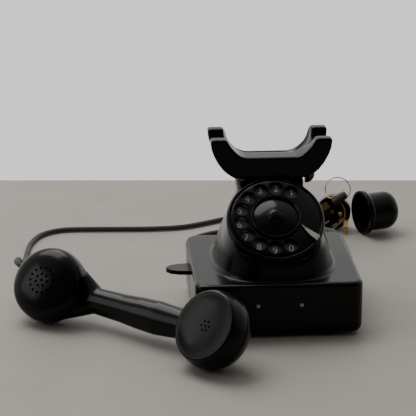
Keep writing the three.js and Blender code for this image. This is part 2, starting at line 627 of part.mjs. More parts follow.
const sleeve = turned([[0, 0], [4.2, 0], [4.2, 13], [3.4, 15.4], [0, 16]], 12);
sleeve.rotateX(-Math.PI / 2).rotateZ(radians(-52)).translate(1.2, 13.2, 4.9);
add("conductor_sleeve", sleeve, rubber, plugGroup);

const coverFlange = [[20, 0], [cover.flange, 0], [cover.flange, 4.6], [cover.body, 7], [cover.body, 27]];
const coverEnd = [[17.6, 33.4], [12, 38], [4.4, cover.length], [4.4, cover.length - 3.4]];
const coverInside = [[11.4, 33.4], [16.6, 24], [16.6, 3.2], [20, 3.2], [20, 0]];
const coverShell = turned([...coverFlange, ...coverEnd, ...coverInside]);
coverShell.rotateY(Math.PI / 2).rotateZ(radians(cover.turn)).translate(cover.x, cover.y, cover.z);
add("plug_cover", coverShell, bakelite, leads);

// ---------- origin ----------

// The origin is under the middle of the box that holds the telephone and its handset.
const standing = new THREE.Box3().setFromObject(telephone, true);
const middle = standing.getCenter(new THREE.Vector3());
const whole = new THREE.Group();
whole.add(telephone, leads);
whole.position.set(-middle.x, -middle.y, -standing.min.z);
whole.updateMatrixWorld(true);

export default whole;
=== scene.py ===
"""Looks of the rotary telephone: fine surfaces, materials, cords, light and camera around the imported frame.

Lengths are in millimetres in the telephone's own frame (middle of its base on the table, front towards -Y)
and place() turns them into metres in the row frame.
"""

import json
import math

import bmesh
import bpy
from mathutils import Matrix, Vector


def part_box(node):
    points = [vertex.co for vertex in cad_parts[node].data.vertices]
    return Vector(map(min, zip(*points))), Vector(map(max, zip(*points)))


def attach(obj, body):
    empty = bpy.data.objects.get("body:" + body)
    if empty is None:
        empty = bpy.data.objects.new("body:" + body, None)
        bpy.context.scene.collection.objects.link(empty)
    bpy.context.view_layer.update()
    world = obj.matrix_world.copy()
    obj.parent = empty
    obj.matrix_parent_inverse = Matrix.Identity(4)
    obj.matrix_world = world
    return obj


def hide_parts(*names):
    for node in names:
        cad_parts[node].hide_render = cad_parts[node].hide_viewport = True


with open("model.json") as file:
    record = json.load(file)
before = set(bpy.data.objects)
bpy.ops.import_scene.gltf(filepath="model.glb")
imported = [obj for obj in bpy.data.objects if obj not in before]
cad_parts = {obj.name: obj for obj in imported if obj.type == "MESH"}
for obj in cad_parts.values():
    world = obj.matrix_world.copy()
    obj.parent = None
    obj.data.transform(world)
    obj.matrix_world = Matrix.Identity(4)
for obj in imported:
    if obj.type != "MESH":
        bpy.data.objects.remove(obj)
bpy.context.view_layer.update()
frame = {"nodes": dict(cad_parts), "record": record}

MM = 0.001
housing_low, housing_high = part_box("housing")
ORIGIN = Vector(((housing_low.x + housing_high.x) / 2, (housing_low.y + housing_high.y) / 2, 0))

# ---------- driving dimensions, as in the part ----------

GAP = 0.3
WALL = 3.5
BASE = {"width": 151, "depth": 144, "bottom": 2, "top": 51, "corner": 11, "top_edge": 3.5, "bottom_edge": 7}
SEAT = {"y": -25.9, "z": 95.8, "tilt": 39.2, "opening": 38.5}
NECK = {"half_width": 31.7, "front": 12, "rear": 56, "top": 127}
SCREW = {"spacing": 39, "height": 31.5}
BUSH = {"handset_x": -8, "line_x": 56, "height": 14}
CRADLE = {"bottom": 125, "front": 9, "rear": 59, "saddle": 144.6, "notch": 149.5, "horn_top": 162}
DIAL = {"bezel": 44.5, "wheel": 40.3, "hub": 22.5}
FINGER_HOLE = {"radius": 6.6, "circle": 31.5, "first": 59.4, "step": 360 / 14}
NUMERAL = {"circle": 33.3, "size": 9.6, "height": 1.62, "thickness": 0.05}
HANDSET = {"x": -142, "y": -79.4, "turn": -40.8, "tilt": 34, "reach": 90.7, "lean": 8, "handle_depth": 31}
HANDLE = {"half_length": 84, "flatness": 0.82, "bow": 3}
CUP = {"radius": 34.8, "edge": -16.1, "seat": -5.6}
HANDSET_CORD = 5
LINE_CORD = 7
PLUG = {"x": 89.5, "y": 226, "z": 18.6, "radius": 18, "turn": -12, "depth": 12}
COVER = {"x": 116.5, "y": 211, "z": 23.2, "turn": 18, "flange": 23, "body": 20, "length": 39}
TABLE = {"edge": 409, "reach": 4000, "turn": -4.24}
ROOM = {"dim": 0.08, "lit": 1.05}


def place(x, y, z):
    return ORIGIN + Vector((x, y, z)) * MM


def turn(degrees, axis):
    return Matrix.Rotation(math.radians(degrees), 4, axis)


def shift(x, y, z):
    return Matrix.Translation((x, y, z))


def circle(radius, height, sides):
    angles = [2 * math.pi * i / sides for i in range(sides)]
    return [(radius * math.cos(angle), radius * math.sin(angle), height) for angle in angles]


# ---------- frames of the sub-parts, in millimetres ----------

TO_ROW = Matrix.Translation(ORIGIN) @ Matrix.Scale(MM, 4)
ON_DIAL = shift(0, SEAT["y"], SEAT["z"]) @ turn(SEAT["tilt"], "X")


def handset_frame():
    """Axes of the handset: along the handle, across it, and out of the mouthpiece and earpiece."""
    heading = math.radians(HANDSET["turn"])
    tilt = math.radians(HANDSET["tilt"])
    along = Vector((math.cos(heading), math.sin(heading), 0))
    facing = Vector((along.y, -along.x, 0)) * math.cos(tilt) + Vector((0, 0, math.sin(tilt)))
    return Matrix((along, facing.cross(along), facing)).transposed().to_4x4()


def set_down(axes):
    """Height of the handset's middle above the table, from its packed box."""
    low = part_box("mouthpiece_cap")[0]
    tilted = onto_cup(-1)
    rim = [tilted @ Vector(point) for height in (-13, CUP["edge"])
           for point in circle(CUP["radius"], height, 20)]
    return low.z / MM - min((axes @ point).z for point in rim)


def onto_cup(side):
    """From a cup's own axes, face at zero, to the handset's axes."""
    return shift(side * HANDSET["reach"], 0, 0) @ turn(-side * HANDSET["lean"], "Y")


HANDSET_AXES = handset_frame()
ON_HANDSET = shift(HANDSET["x"], HANDSET["y"], set_down(HANDSET_AXES)) @ HANDSET_AXES
ON_PLUG = shift(PLUG["x"], PLUG["y"], PLUG["z"]) @ turn(90, "X") @ turn(PLUG["turn"], "Y")
ON_COVER = shift(COVER["x"], COVER["y"], COVER["z"]) @ turn(COVER["turn"], "Z") @ turn(90, "Y")

# ---------- camera ----------

camera_data = bpy.data.cameras.new("camera")
camera_data.lens = 157.9
camera_data.sensor_width = 36
camera = bpy.data.objects.new("camera", camera_data)
bpy.context.collection.objects.link(camera)
camera.location = place(-176.4, -1581.8, 615.8)
camera.rotation_euler = (place(-59.1, 0, 100.8) - camera.location).to_track_quat("-Z", "Y").to_euler()
bpy.context.scene.camera = camera

# ---------- node helpers ----------


class Nodes:
    """A material's node tree, with short calls for the few nodes that the finishes use."""

    def __init__(self, name, roughness, metallic=0.0):
        self.material = bpy.data.materials.new(name)
        self.material.use_nodes = True
        self.tree = self.material.node_tree
        self.shader = self.tree.nodes["Principled BSDF"]
        self.shader.inputs["Roughness"].default_value = roughness
        self.shader.inputs["Metallic"].default_value = metallic
        self.place = self.tree.nodes.new("ShaderNodeTexCoord").outputs["Object"]

    def link(self, source, target):
        self.tree.links.new(source, target)

    def noise(self, scale, detail=4.0, stretch=None):
        node = self.tree.nodes.new("ShaderNodeTexNoise")
        node.inputs["Scale"].default_value = scale
        node.inputs["Detail"].default_value = detail
        source = self.place
        if stretch:
            mapping = self.tree.nodes.new("ShaderNodeMapping")
            mapping.inputs["Scale"].default_value = stretch
            self.link(self.place, mapping.inputs["Vector"])
            source = mapping.outputs["Vector"]
        self.link(source, node.inputs["Vector"])
        return node.outputs["Fac"]

    def ramp(self, source, stops):
        node = self.tree.nodes.new("ShaderNodeValToRGB")
        node.color_ramp.elements[0].position, node.color_ramp.elements[0].color = stops[0]
        node.color_ramp.elements[1].position, node.color_ramp.elements[1].color = stops[-1]
        for position, color in stops[1:-1]:
            node.color_ramp.elements.new(position).color = color
        self.link(source, node.inputs["Fac"])
        return node.outputs["Color"]

    def range(self, source, low, high, start=0.3, end=0.7):
        node = self.tree.nodes.new("ShaderNodeMapRange")
        for name, value in (("From Min", start), ("From Max", end), ("To Min", low), ("To Max", high)):
            node.inputs[name].default_value = value
        self.link(source, node.inputs["Value"])
        return node.outputs["Result"]

    def math(self, operation, first, second):
        node = self.tree.nodes.new("ShaderNodeMath")
        node.operation = operation
        for socket, value in zip(node.inputs, (first, second)):
            if isinstance(value, (int, float)):
                socket.default_value = value
            else:
                self.link(value, socket)
        return node.outputs["Value"]

    def mix(self, factor, first, second):
        node = self.tree.nodes.new("ShaderNodeMix")
        node.data_type = "RGBA"
        self.link(factor, node.inputs["Factor"])
        for socket, value in ((node.inputs[6], first), (node.inputs[7], second)):
            if isinstance(value, tuple):
                socket.default_value = value
            else:
                self.link(value, socket)
        return node.outputs[2]

    def edge(self, low, high):
        pointiness = self.tree.nodes.new("ShaderNodeNewGeometry").outputs["Pointiness"]
        return self.range(pointiness, 0, 1, low, high)

    def bump(self, height, strength, distance):
        node = self.tree.nodes.new("ShaderNodeBump")
        node.inputs["Strength"].default_value = strength
        node.inputs["Distance"].default_value = distance
        self.link(height, node.inputs["Height"])
        self.link(node.outputs["Normal"], self.shader.inputs["Normal"])

    def color(self, source):
        self.link(source, self.shader.inputs["Base Color"])

    def roughness(self, source):
        self.link(source, self.shader.inputs["Roughness"])


def grey(value, warm=0.0):
    return (value * (1 + warm), value, value * (1 - warm), 1)


# ---------- materials ----------


def make_bakelite():
    """Polished black phenolic: faint mottling, dulled patches, fine scratches and browned rubbed edges."""
    nodes = Nodes("bakelite", 0.2)
    mottled = nodes.ramp(nodes.noise(60, 6), [(0.35, grey(0.0015)), (0.7, grey(0.004, 0.05))])
    patches = nodes.range(nodes.noise(90, 5), 0, 0.1, 0.5, 0.68)
    rubbed = nodes.math("MULTIPLY", nodes.edge(0.52, 0.6), patches)
    nodes.color(nodes.mix(rubbed, mottled, (0.075, 0.045, 0.026, 1)))
    handled = nodes.range(nodes.noise(14, 5), 0.1, 0.22)
    streaks = nodes.range(nodes.noise(40, 8, (1, 14, 3)), -0.02, 0.06)
    nodes.roughness(nodes.math("ADD", handled, streaks))
    nodes.shader.inputs["Specular IOR Level"].default_value = 0.17
    waves = nodes.math("MULTIPLY", nodes.noise(22, 2), 1.2)
    nodes.bump(nodes.math("ADD", waves, nodes.noise(700, 3)), 0.06, 0.0006)
    return nodes.material


def make_enamel():
    nodes = Nodes("enamel", 0.35)
    nodes.color(nodes.ramp(nodes.noise(80, 4), [(0.3, grey(0.006)), (0.7, grey(0.016))]))
    nodes.roughness(nodes.range(nodes.noise(40, 4), 0.25, 0.45))
    nodes.bump(nodes.noise(900, 2), 0.05, 0.0003)
    return nodes.material


def make_numeral_paint_and_shade():
    nodes = Nodes("numeral_paint_and_shade", 0.5)
    # The numerals' white paint is darkened to a light grey, as painted shade on the numerals.
    nodes.color(nodes.ramp(nodes.noise(300, 4), [(0.3, grey(0.3, 0.05)), (0.7, grey(0.5, 0.03))]))
    nodes.roughness(nodes.range(nodes.noise(500, 3), 0.4, 0.6))
    nodes.bump(nodes.noise(1500, 2), 0.1, 0.0002)
    return nodes.material


def make_metal(name, dull, bright, roughness, grain, tarnish=None):
    """Worn metal: colour between dull and bright, fine grain, and darker tarnish in patches."""
    nodes = Nodes(name, roughness, 1.0)
    base = nodes.ramp(nodes.noise(130, 6), [(0.3, dull), (0.7, bright)])
    if tarnish:
        base = nodes.mix(nodes.range(nodes.noise(55, 6), 0, 0.8, 0.5, 0.72), base, tarnish)
    nodes.color(base)
    nodes.roughness(nodes.range(nodes.noise(220, 5, grain), roughness - 0.1, roughness + 0.14))
    nodes.bump(nodes.noise(900, 3, grain), 0.12, 0.0003)
    return nodes.material


def make_rubber():
    nodes = Nodes("rubber", 0.75)
    nodes.color(nodes.ramp(nodes.noise(150, 5), [(0.3, grey(0.01)), (0.75, grey(0.028, 0.04))]))
    nodes.roughness(nodes.range(nodes.noise(90, 4), 0.6, 0.85))
    nodes.bump(nodes.noise(1400, 3), 0.3, 0.0004)
    return nodes.material


def make_fibre():
    nodes = Nodes("fibre", 0.7)
    dark, light = (0.12, 0.06, 0.03, 1), (0.26, 0.15, 0.08, 1)
    nodes.color(nodes.ramp(nodes.noise(260, 8, (1, 5, 1)), [(0.3, dark), (0.7, light)]))
    nodes.roughness(nodes.range(nodes.noise(120, 4), 0.6, 0.8))
    nodes.bump(nodes.noise(500, 5, (1, 5, 1)), 0.25, 0.0004)
    return nodes.material


def make_braid():
    """Black braided cotton: two families of strands cross round the cord, along its length and girth."""
    nodes = Nodes("braid", 0.8)
    wrap = nodes.tree.nodes.new("ShaderNodeSeparateXYZ")
    nodes.link(nodes.tree.nodes.new("ShaderNodeTexCoord").outputs["UV"], wrap.inputs["Vector"])
    girth = nodes.math("MULTIPLY", wrap.outputs["Y"], 6 * 2 * math.pi)
    lay = nodes.math("MULTIPLY", wrap.outputs["X"], 1.5 * 2 * math.pi)
    right = nodes.math("SINE", nodes.math("ADD", girth, lay), 0)
    left = nodes.math("SINE", nodes.math("SUBTRACT", girth, lay), 0)
    strands = nodes.math("MAXIMUM", right, left)
    raised = nodes.range(strands, 0, 1, 0.0, 1.0)
    # The raised strands are lighter and the grooves between them darker, in patches from noise.
    raised_strand_tone = nodes.math("MULTIPLY", raised, nodes.range(nodes.noise(300, 4), 0.4, 1))
    nodes.color(nodes.mix(raised_strand_tone, grey(0.006), grey(0.06, 0.1)))
    nodes.roughness(nodes.range(nodes.noise(400, 3), 0.7, 0.9))
    nodes.shader.inputs["Sheen Weight"].default_value = 0.25
    nodes.bump(strands, 0.6, 0.0005)
    return nodes.material


def make_floor():
    nodes = Nodes("floor", 0.6)
    dark, light = (0.3, 0.277, 0.248, 1), (0.34, 0.315, 0.284, 1)
    nodes.color(nodes.ramp(nodes.noise(3, 3), [(0.3, dark), (0.7, light)]))
    nodes.roughness(nodes.range(nodes.noise(20, 3), 0.5, 0.65))
    nodes.bump(nodes.noise(400, 3), 0.03, 0.0005)
    return nodes.material


FINISH = {
    "bakelite": make_bakelite(),
    "enamel": make_enamel(),
    "steel": make_metal("steel", grey(0.3), grey(0.5, 0.02), 0.42, (1, 1, 9), (0.12, 0.09, 0.07, 1)),
    "nickel": make_metal("nickel", grey(0.24, 0.1), grey(0.42, 0.06), 0.34, (6, 1, 1), (0.2, 0.14, 0.07, 1)),
    "brass": make_metal("brass", (0.5, 0.3, 0.1, 1), (0.85, 0.62, 0.28, 1), 0.3, (1, 6, 1),
                        (0.22, 0.12, 0.04, 1)),
    "copper": make_metal("copper", (0.4, 0.16, 0.06, 1), (0.66, 0.32, 0.15, 1), 0.38, (1, 1, 14)),
    "rubber": make_rubber(),
    "braid": make_braid(),
    "fibre": make_fibre(),
}
NUMERAL_PAINT_AND_SHADE = make_numeral_paint_and_shade()

for entry in frame["record"]["subparts"]:
    node = frame["nodes"][entry["node"]]
    node.data.materials.clear()
    node.data.materials.append(FINISH[entry["material_slot"]])
for name in ("front_screw_1", "front_screw_2"):
    frame["nodes"][name].data.materials[0] = FINISH["steel"]

# ---------- mesh helpers ----------


def piece(name, vertices, faces, matrix):
    """A mesh object from points in a sub-part's own frame, in millimetres."""
    mesh = bpy.data.meshes.new(name)
    mesh.from_pydata([TO_ROW @ matrix @ Vector(vertex) for vertex in vertices], [], faces)
    sculpt = bmesh.new()
    sculpt.from_mesh(mesh)
    bmesh.ops.recalc_face_normals(sculpt, faces=sculpt.faces)
    sculpt.to_mesh(mesh)
    sculpt.free()
    mesh.shade_smooth()
    made = bpy.data.objects.new(name, mesh)
    bpy.context.collection.objects.link(made)
    return made


def loft(name, rings, matrix=Matrix()):
    """A closed skin through rings that have the same number of points, capped at both ends."""
    count = len(rings[0])
    vertices = [point for ring in rings for point in ring]
    faces = [list(range(count)), list(range(len(vertices) - count, len(vertices)))]
    for row in range(len(rings) - 1):
        for i in range(count):
            a, b = row * count + i, row * count + (i + 1) % count
            faces.append([a, b, b + count, a + count])
    return piece(name, vertices, faces, matrix)


def turned(name, profile, matrix=Matrix(), sides=96):
    """A turned solid. An open profile starts and ends on the axis, and a closed one returns to its start."""
    closed = profile[0] == profile[-1]
    outline = profile[:-1] if closed else profile
    rings = [circle(max(radius, 1e-3), height, sides) for radius, height in outline]
    if not closed:
        return loft(name, rings, matrix)
    vertices = [point for ring in rings for point in ring]
    faces = []
    for row in range(len(rings)):
        for i in range(sides):
            a, b = row * sides + i, row * sides + (i + 1) % sides
            below = (row + 1) % len(rings) * sides - row * sides
            faces.append([a, b, b + below, a + below])
    return piece(name, vertices, faces, matrix)


def rounded_outline(width, depth, corner, steps=10):
    outline = []
    for quarter, (sx, sy) in enumerate(((1, 1), (-1, 1), (-1, -1), (1, -1))):
        for i in range(steps + 1):
            angle = math.radians(90 * (quarter + i / steps))
            outline.append((sx * (width / 2 - corner) + corner * math.cos(angle),
                            sy * (depth / 2 - corner) + corner * math.sin(angle)))
    return outline


def rounded_box(name, width, depth, low, high, corner, low_edge, high_edge, matrix=Matrix()):
    """A box with round corners whose lower and upper edges are rounded too."""
    levels = []
    for i in range(7):
        angle = math.radians(90 * i / 6)
        levels.append((low + low_edge * (1 - math.sin(angle)), low_edge * (1 - math.cos(angle))))
    for i in range(7):
        angle = math.radians(90 * i / 6)
        levels.append((high - high_edge * (1 - math.sin(angle)), high_edge * (1 - math.cos(angle))))
    levels = sorted(set(levels))
    rings = []
    for height, inset in levels:
        outline = rounded_outline(width - 2 * inset, depth - 2 * inset, max(corner - inset, 0.5))
        rings.append([(x, y, height) for x, y in outline])
    return loft(name, rings, matrix)


def slab(name, outline, low, high, matrix=Matrix()):
    return loft(name, [[(x, y, height) for x, y in outline] for height in (low, high)], matrix)


def box(name, low, high, matrix=Matrix()):
    outline = [(low[0], low[1]), (high[0], low[1]), (high[0], high[1]), (low[0], high[1])]
    return slab(name, outline, low[2], high[2], matrix)


def ball(x, y, z, radius, steps):
    """Points of a sphere, for a hull."""
    points = []
    for k in range(steps // 2 + 1):
        latitude = math.pi * k / (steps // 2)
        for i in range(steps):
            longitude = 2 * math.pi * i / steps
            girth = radius * math.sin(latitude)
            points.append((x + girth * math.cos(longitude), y + girth * math.sin(longitude),
                           z + radius * math.cos(latitude)))
    return points


def hull(name, points, matrix=Matrix()):
    """The smallest convex solid around some points."""
    mesh = bpy.data.meshes.new(name)
    sculpt = bmesh.new()
    for point in points:
        sculpt.verts.new(TO_ROW @ matrix @ Vector(point))
    bmesh.ops.remove_doubles(sculpt, verts=sculpt.verts, dist=1e-7)
    made = bmesh.ops.convex_hull(sculpt, input=sculpt.verts)
    spare = made["geom_interior"] + made["geom_unused"]
    inside = {item for item in spare if isinstance(item, bmesh.types.BMVert)}
    bmesh.ops.delete(sculpt, geom=list(inside), context="VERTS")
    bmesh.ops.recalc_face_normals(sculpt, faces=sculpt.faces)
    sculpt.to_mesh(mesh)
    sculpt.free()
    solid = bpy.data.objects.new(name, mesh)
    bpy.context.collection.objects.link(solid)
    return solid


def apply_modifier(target, kind, **settings):
    modifier = target.modifiers.new(kind.lower(), kind)
    for key, value in settings.items():
        setattr(modifier, key, value)
    bpy.context.view_layer.objects.active = target
    with bpy.context.temp_override(object=target, active_object=target, selected_objects=[target]):
        bpy.ops.object.modifier_apply(modifier=modifier.name)


def union(first, others):
    for other in others:
        apply_modifier(first, "BOOLEAN", object=other, operation="UNION", solver="MANIFOLD")
        bpy.data.objects.remove(other)


def cut(target, cutters):
    for cutter in cutters:
        apply_modifier(target, "BOOLEAN", object=cutter, operation="DIFFERENCE", solver="MANIFOLD")
        bpy.data.objects.remove(cutter)
    return target


def moulded(target, grain, rounds):
    """Turns a joined solid into one even skin whose inside corners and edges are softly rounded."""
    apply_modifier(target, "REMESH", mode="VOXEL", voxel_size=grain * MM, use_smooth_shade=True)
    apply_modifier(target, "SMOOTH", factor=0.5, iterations=rounds)


def eased(target, width=0.35, angle=32):
    """Small bevels along sharp edges, so that they catch the light."""
    modifier = target.modifiers.new("ease", "BEVEL")
    modifier.width = width * MM
    modifier.segments = 2
    modifier.limit_method = "ANGLE"
    modifier.angle_limit = math.radians(angle)
    modifier.harden_normals = True
    return target


def dress(target, slot, body, *nodes):
    """Finish, body and the CAD nodes that a piece stands for."""
    target.data.materials.clear()
    target.data.materials.append(FINISH[slot])
    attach(target, body)
    if nodes:
        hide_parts(*nodes)
    return target


# ---------- cords ----------


def smooth_path(points, spacing):
    """Points at an even spacing along a Catmull-Rom curve through the given ones."""
    points = [Vector(point) for point in points]
    padded = [2 * points[0] - points[1], *points, 2 * points[-1] - points[-2]]
    dense = []
    for a, b, c, d in zip(padded, padded[1:], padded[2:], padded[3:]):
        for i in range(24):
            t = i / 24
            dense.append(0.5 * ((2 * b) + (c - a) * t + (2 * a - 5 * b + 4 * c - d) * t ** 2
                                + (3 * b - a - 3 * c + d) * t ** 3))
    dense.append(points[-1])
    path = [dense[0]]
    travelled = 0.0
    for start, end in zip(dense, dense[1:]):
        step = (end - start).length
        while step > 0 and travelled + step >= spacing:
            start = start.lerp(end, (spacing - travelled) / step)
            path.append(start)
            step = (end - start).length
            travelled = 0.0
        travelled += step
    path.append(dense[-1])
    return path


def coil(centre, start, sweep, stages, points_per_turn=24):
    """Points of a coil that runs from stage to stage, each of them (turns done, radius, height)."""
    count = round(abs(sweep) / 360 * points_per_turn)
    points = []
    for i in range(1, count):
        turns = abs(sweep) / 360 * i / count
        angle = math.radians(start + sweep * i / count)
        before = max((stage for stage in stages if stage[0] <= turns), key=lambda stage: stage[0])
        later = [stage for stage in stages if stage[0] > turns]
        after = min(later, key=lambda stage: stage[0], default=before)
        span = after[0] - before[0] or 1
        blend = (turns - before[0]) / span
        radius = before[1] + (after[1] - before[1]) * blend
        height = before[2] + (after[2] - before[2]) * blend
        points.append((centre[0] + radius * math.cos(angle), centre[1] + radius * math.sin(angle), height))
    return points


def cord_tube(name, path, diameter, sides=14):
    """A round tube along a path in millimetres. Its UVs run along it in diameters and once round it."""
    centres = [place(*point) for point in path]
    radius = diameter / 2 * MM
    mesh = bpy.data.meshes.new(name)
    vertices, faces, coordinates = [], [], []
    normal = Vector((0, 0, 1))
    travelled = 0.0
    lengths = []
    for i, centre in enumerate(centres):
        ahead = centres[min(i + 1, len(centres) - 1)] - centres[max(i - 1, 0)]
        ahead.normalize()
        side = ahead.cross(normal).normalized()
        normal = side.cross(ahead).normalized()
        if i:
            travelled += (centre - centres[i - 1]).length
        lengths.append(travelled / (diameter * MM))
        for k in range(sides):
            angle = 2 * math.pi * k / sides
            vertices.append(centre + radius * (math.cos(angle) * side + math.sin(angle) * normal))
    for row in range(len(centres) - 1):
        for k in range(sides):
            after = (k + 1) % sides
            this, following = row * sides, (row + 1) * sides
            faces.append([this + k, this + after, following + after, following + k])
            near, far = k / sides, (k + 1) / sides
            start, end = lengths[row], lengths[row + 1]
            coordinates += [(start, near), (start, far), (end, far), (end, near)]
    for row in (0, len(centres) - 1):
        cap = [row * sides + k for k in range(sides)]
        faces.append(cap if row else cap[::-1])
        coordinates += [(lengths[row], 0)] * sides
    mesh.from_pydata(vertices, [], faces)
    layer = mesh.uv_layers.new(name="wrap")
    for loop, coordinate in zip(layer.data, coordinates):
        loop.uv = coordinate
    mesh.shade_smooth()
    made = bpy.data.objects.new(name, mesh)
    bpy.context.collection.objects.link(made)
    return made


# From the bush on the mouthpiece cup, back along the table and behind the telephone to the coil.
handset_route = [
    (-231, 27, 39.1), (-234, 30, 40.3), (-236.2, 37, 40.2), (-235.6, 50, 37.4), (-234.6, 68, 31),
    (-233.4, 88, 20.8), (-232.6, 110, 10.4), (-232, 130, 4.6), (-231.4, 150, 2.8), (-230, 170, 2.8),
    (-226.5, 198, 2.8), (-216, 224, 2.8), (-195, 238, 2.8), (-165, 238.5, 2.8), (-130, 236.5, 2.8),
    (-98, 235.5, 2.8),
    (-68, 239, 2.8), (-42, 251, 2.8), (-20, 263, 2.8), (0, 265, 2.8), (12, 253, 2.8), (5, 236, 2.8),
    (-20, 224, 2.8), (-46, 212, 2.8), (-62, 196, 2.8), (-66, 176, 2.8), (-58, 160, 2.8),
]
handset_stages = [
    (0, 33, 2.8), (0.2, 30.4, 2.8), (0.9, 30.4, 2.8), (1.15, 25, 2.8), (1.8, 25, 2.8), (2.1, 25, 8.2),
    (3.0, 25.2, 8.2), (3.28, 28, 8.6),
]
handset_coil = coil((-36, 118), 103, -(103 + 3 * 360), handset_stages)
handset_lead = [
    (-8, 112, 8.9), (-8, 104, 9.6), (-8, 97.4, 10.6), (-8, 92, 12.5), (-8, 87, 13.6), (-8, 81.4, 14),
]
handset_path = smooth_path([*handset_route, *handset_coil, *handset_lead], 1.6)

# From the bush in the rear wall to the coil, and from the coil round to the back of the plug.
line_lead = [(56, 81.4, 14), (58, 92, 12.5), (66, 106, 7.5), (74, 119, 4.4)]
line_stages = [
    (0, 55.8, 3.8), (0.25, 47.6, 3.8), (0.9, 47.6, 3.8), (1.15, 40.5, 3.8), (1.9, 40.5, 3.8),
    (2.15, 33.4, 3.8), (2.8, 33.4, 3.8), (3.1, 33.4, 11), (3.8, 33.4, 11), (4.1, 40.5, 11),
    (4.7, 40.5, 11), (5, 47.6, 11), (5.2, 54, 10),
]
line_coil = coil((36, 166), -39, 32.8 + 39 + 5 * 360, line_stages)
line_route = [
    (82.6, 196, 8.6), (77, 209, 5), (69, 224, 3.8), (64, 244, 3.8), (66, 266, 3.8), (76, 284, 3.8),
    (92, 291, 5), (104, 285, 10), (104, 274, 16), (100.6, 264.5, 18.3),
]
line_path = smooth_path([*line_lead, *line_coil, *line_route], 2.0)

handset_cord = dress(cord_tube("handset_cord_braid", handset_path, HANDSET_CORD), "braid", "telephone",
                     "handset_cord", "handset_cord_coil", "handset_cord_lead")
line_cord = dress(cord_tube("line_cord_braid", line_path, LINE_CORD), "braid", "telephone",
                  "line_cord", "line_cord_coil", "line_cord_lead")

# ---------- housing ----------

# Each ring of the neck is (height, half width, front, rear).
NECK_RINGS = [
    (44, 60, -68, 66), (51, 56, -66.5, 64), (55, 53.8, -65.4, 61.5), (62, 52, -64.6, 59.5),
    (72, 49.5, -64, 58), (82, 45.5, -63, 57), (92, 40.5, -56, 56.4), (102, 35.5, -40, 56.2),
    (112, NECK["half_width"], -14, NECK["rear"]),
    (119, NECK["half_width"], 8, NECK["rear"]), (123, NECK["half_width"], NECK["front"], NECK["rear"]),
]
NECK_SQUARENESS = 2.7


def neck_size(height):
    """Half width, front and rear of the flared neck at a height, on a smooth curve through its rings."""
    top_size = NECK_RINGS[-1][1:]
    rings = [NECK_RINGS[0], *NECK_RINGS, (NECK["top"], *top_size), (NECK["top"] + 4, *top_size)]
    index = max(i for i in range(1, len(rings) - 2) if rings[i][0] <= height)
    a, b, c, d = rings[index - 1:index + 3]
    t = (height - b[0]) / (c[0] - b[0])
    return [0.5 * (2 * q + (r - p) * t + (2 * p - 5 * q + 4 * r - s) * t ** 2
                   + (3 * q - p - 3 * r + s) * t ** 3)
            for p, q, r, s in zip(a[1:], b[1:], c[1:], d[1:])]


def squared(value):
    return math.copysign(abs(value) ** (2 / NECK_SQUARENESS), value)


def flared_neck(name, inset, low, high, levels, sides=120):
    rings = []
    for level in range(levels + 1):
        height = low + (high - low) * level / levels
        half_width, front, rear = neck_size(min(height, NECK["top"] - 0.01))
        ring = []
        for i in range(sides):
            angle = 2 * math.pi * i / sides
            x = squared(math.cos(angle)) * (half_width - inset)
            y = squared(math.sin(angle)) * ((rear - front) / 2 - inset) + (rear + front) / 2
            ring.append((x, y, height))
        rings.append(ring)
    return loft(name, rings)


def wall_hole(name, radius, reach, x, y, height, sides):
    """A round cutter lying along Y, centred on a wall."""
    profile = [(0, -reach), (radius, -reach), (radius, reach), (0, reach)]
    return turned(name, profile, shift(x, y, height) @ turn(90, "X"), sides)


def make_housing():
    base = rounded_box("housing_shell", BASE["width"], BASE["depth"], BASE["bottom"], BASE["top"],
                       BASE["corner"], BASE["bottom_edge"], BASE["top_edge"])
    neck = flared_neck("neck", 0, 44, NECK["top"], 60)
    above_seat = box("above_seat", (-100, -90, 0.0), (100, 90, 120), ON_DIAL)
    drum_profile = [(0, -46), (33, -46), (39, -25), (43.6, -7), (DIAL["bezel"], -1),
                    (DIAL["bezel"] - 0.6, 0), (0, 0)]
    drum = turned("drum", drum_profile, ON_DIAL)
    union(base, [neck, drum])
    moulded(base, 1.0, 5)
    inside = rounded_box("inside", BASE["width"] - 2 * WALL, BASE["depth"] - 2 * WALL, -5, BASE["top"] - WALL,
                         BASE["corner"] - WALL, 1, 1)
    neck_inside = flared_neck("neck_inside", WALL, 44, NECK["top"] - WALL, 12, 48)
    cut(neck_inside, [box("below_seat", (-100, -90, -WALL), (100, 90, 120), ON_DIAL)])
    opening_profile = [(0, -40), (30, -40), (SEAT["opening"], -8), (SEAT["opening"], 4), (0, 4)]
    opening = turned("opening", opening_profile, ON_DIAL)
    stem_hole = turned("stem_hole", [(0, 115), (5, 115), (5, 135), (0, 135)], shift(0, 34, 0), 32)
    slot = box("slot", (-82, 3, 32), (-69, 33, 39))
    front, rear = -BASE["depth"] / 2, BASE["depth"] / 2
    screw_holes = [wall_hole("screw_hole", 1.5, 8, x, front, SCREW["height"], 24)
                   for x in (-SCREW["spacing"] / 2, SCREW["spacing"] / 2)]
    bush_holes = [wall_hole("bush_hole", 5.2, 12, BUSH["handset_x"], rear, BUSH["height"], 48),
                  wall_hole("bush_hole", 6.6, 12, BUSH["line_x"], rear, BUSH["height"], 48)]
    travel_room = box("travel_room", (-33.7, 8.8, 120.6), (33.7, 12, 126.6))
    cut(base, [above_seat, inside, neck_inside, opening, stem_hole, slot, travel_room])
    cut(base, screw_holes + bush_holes)
    dress(base, "bakelite", "telephone", "housing")


make_housing()

# ---------- cradle ----------


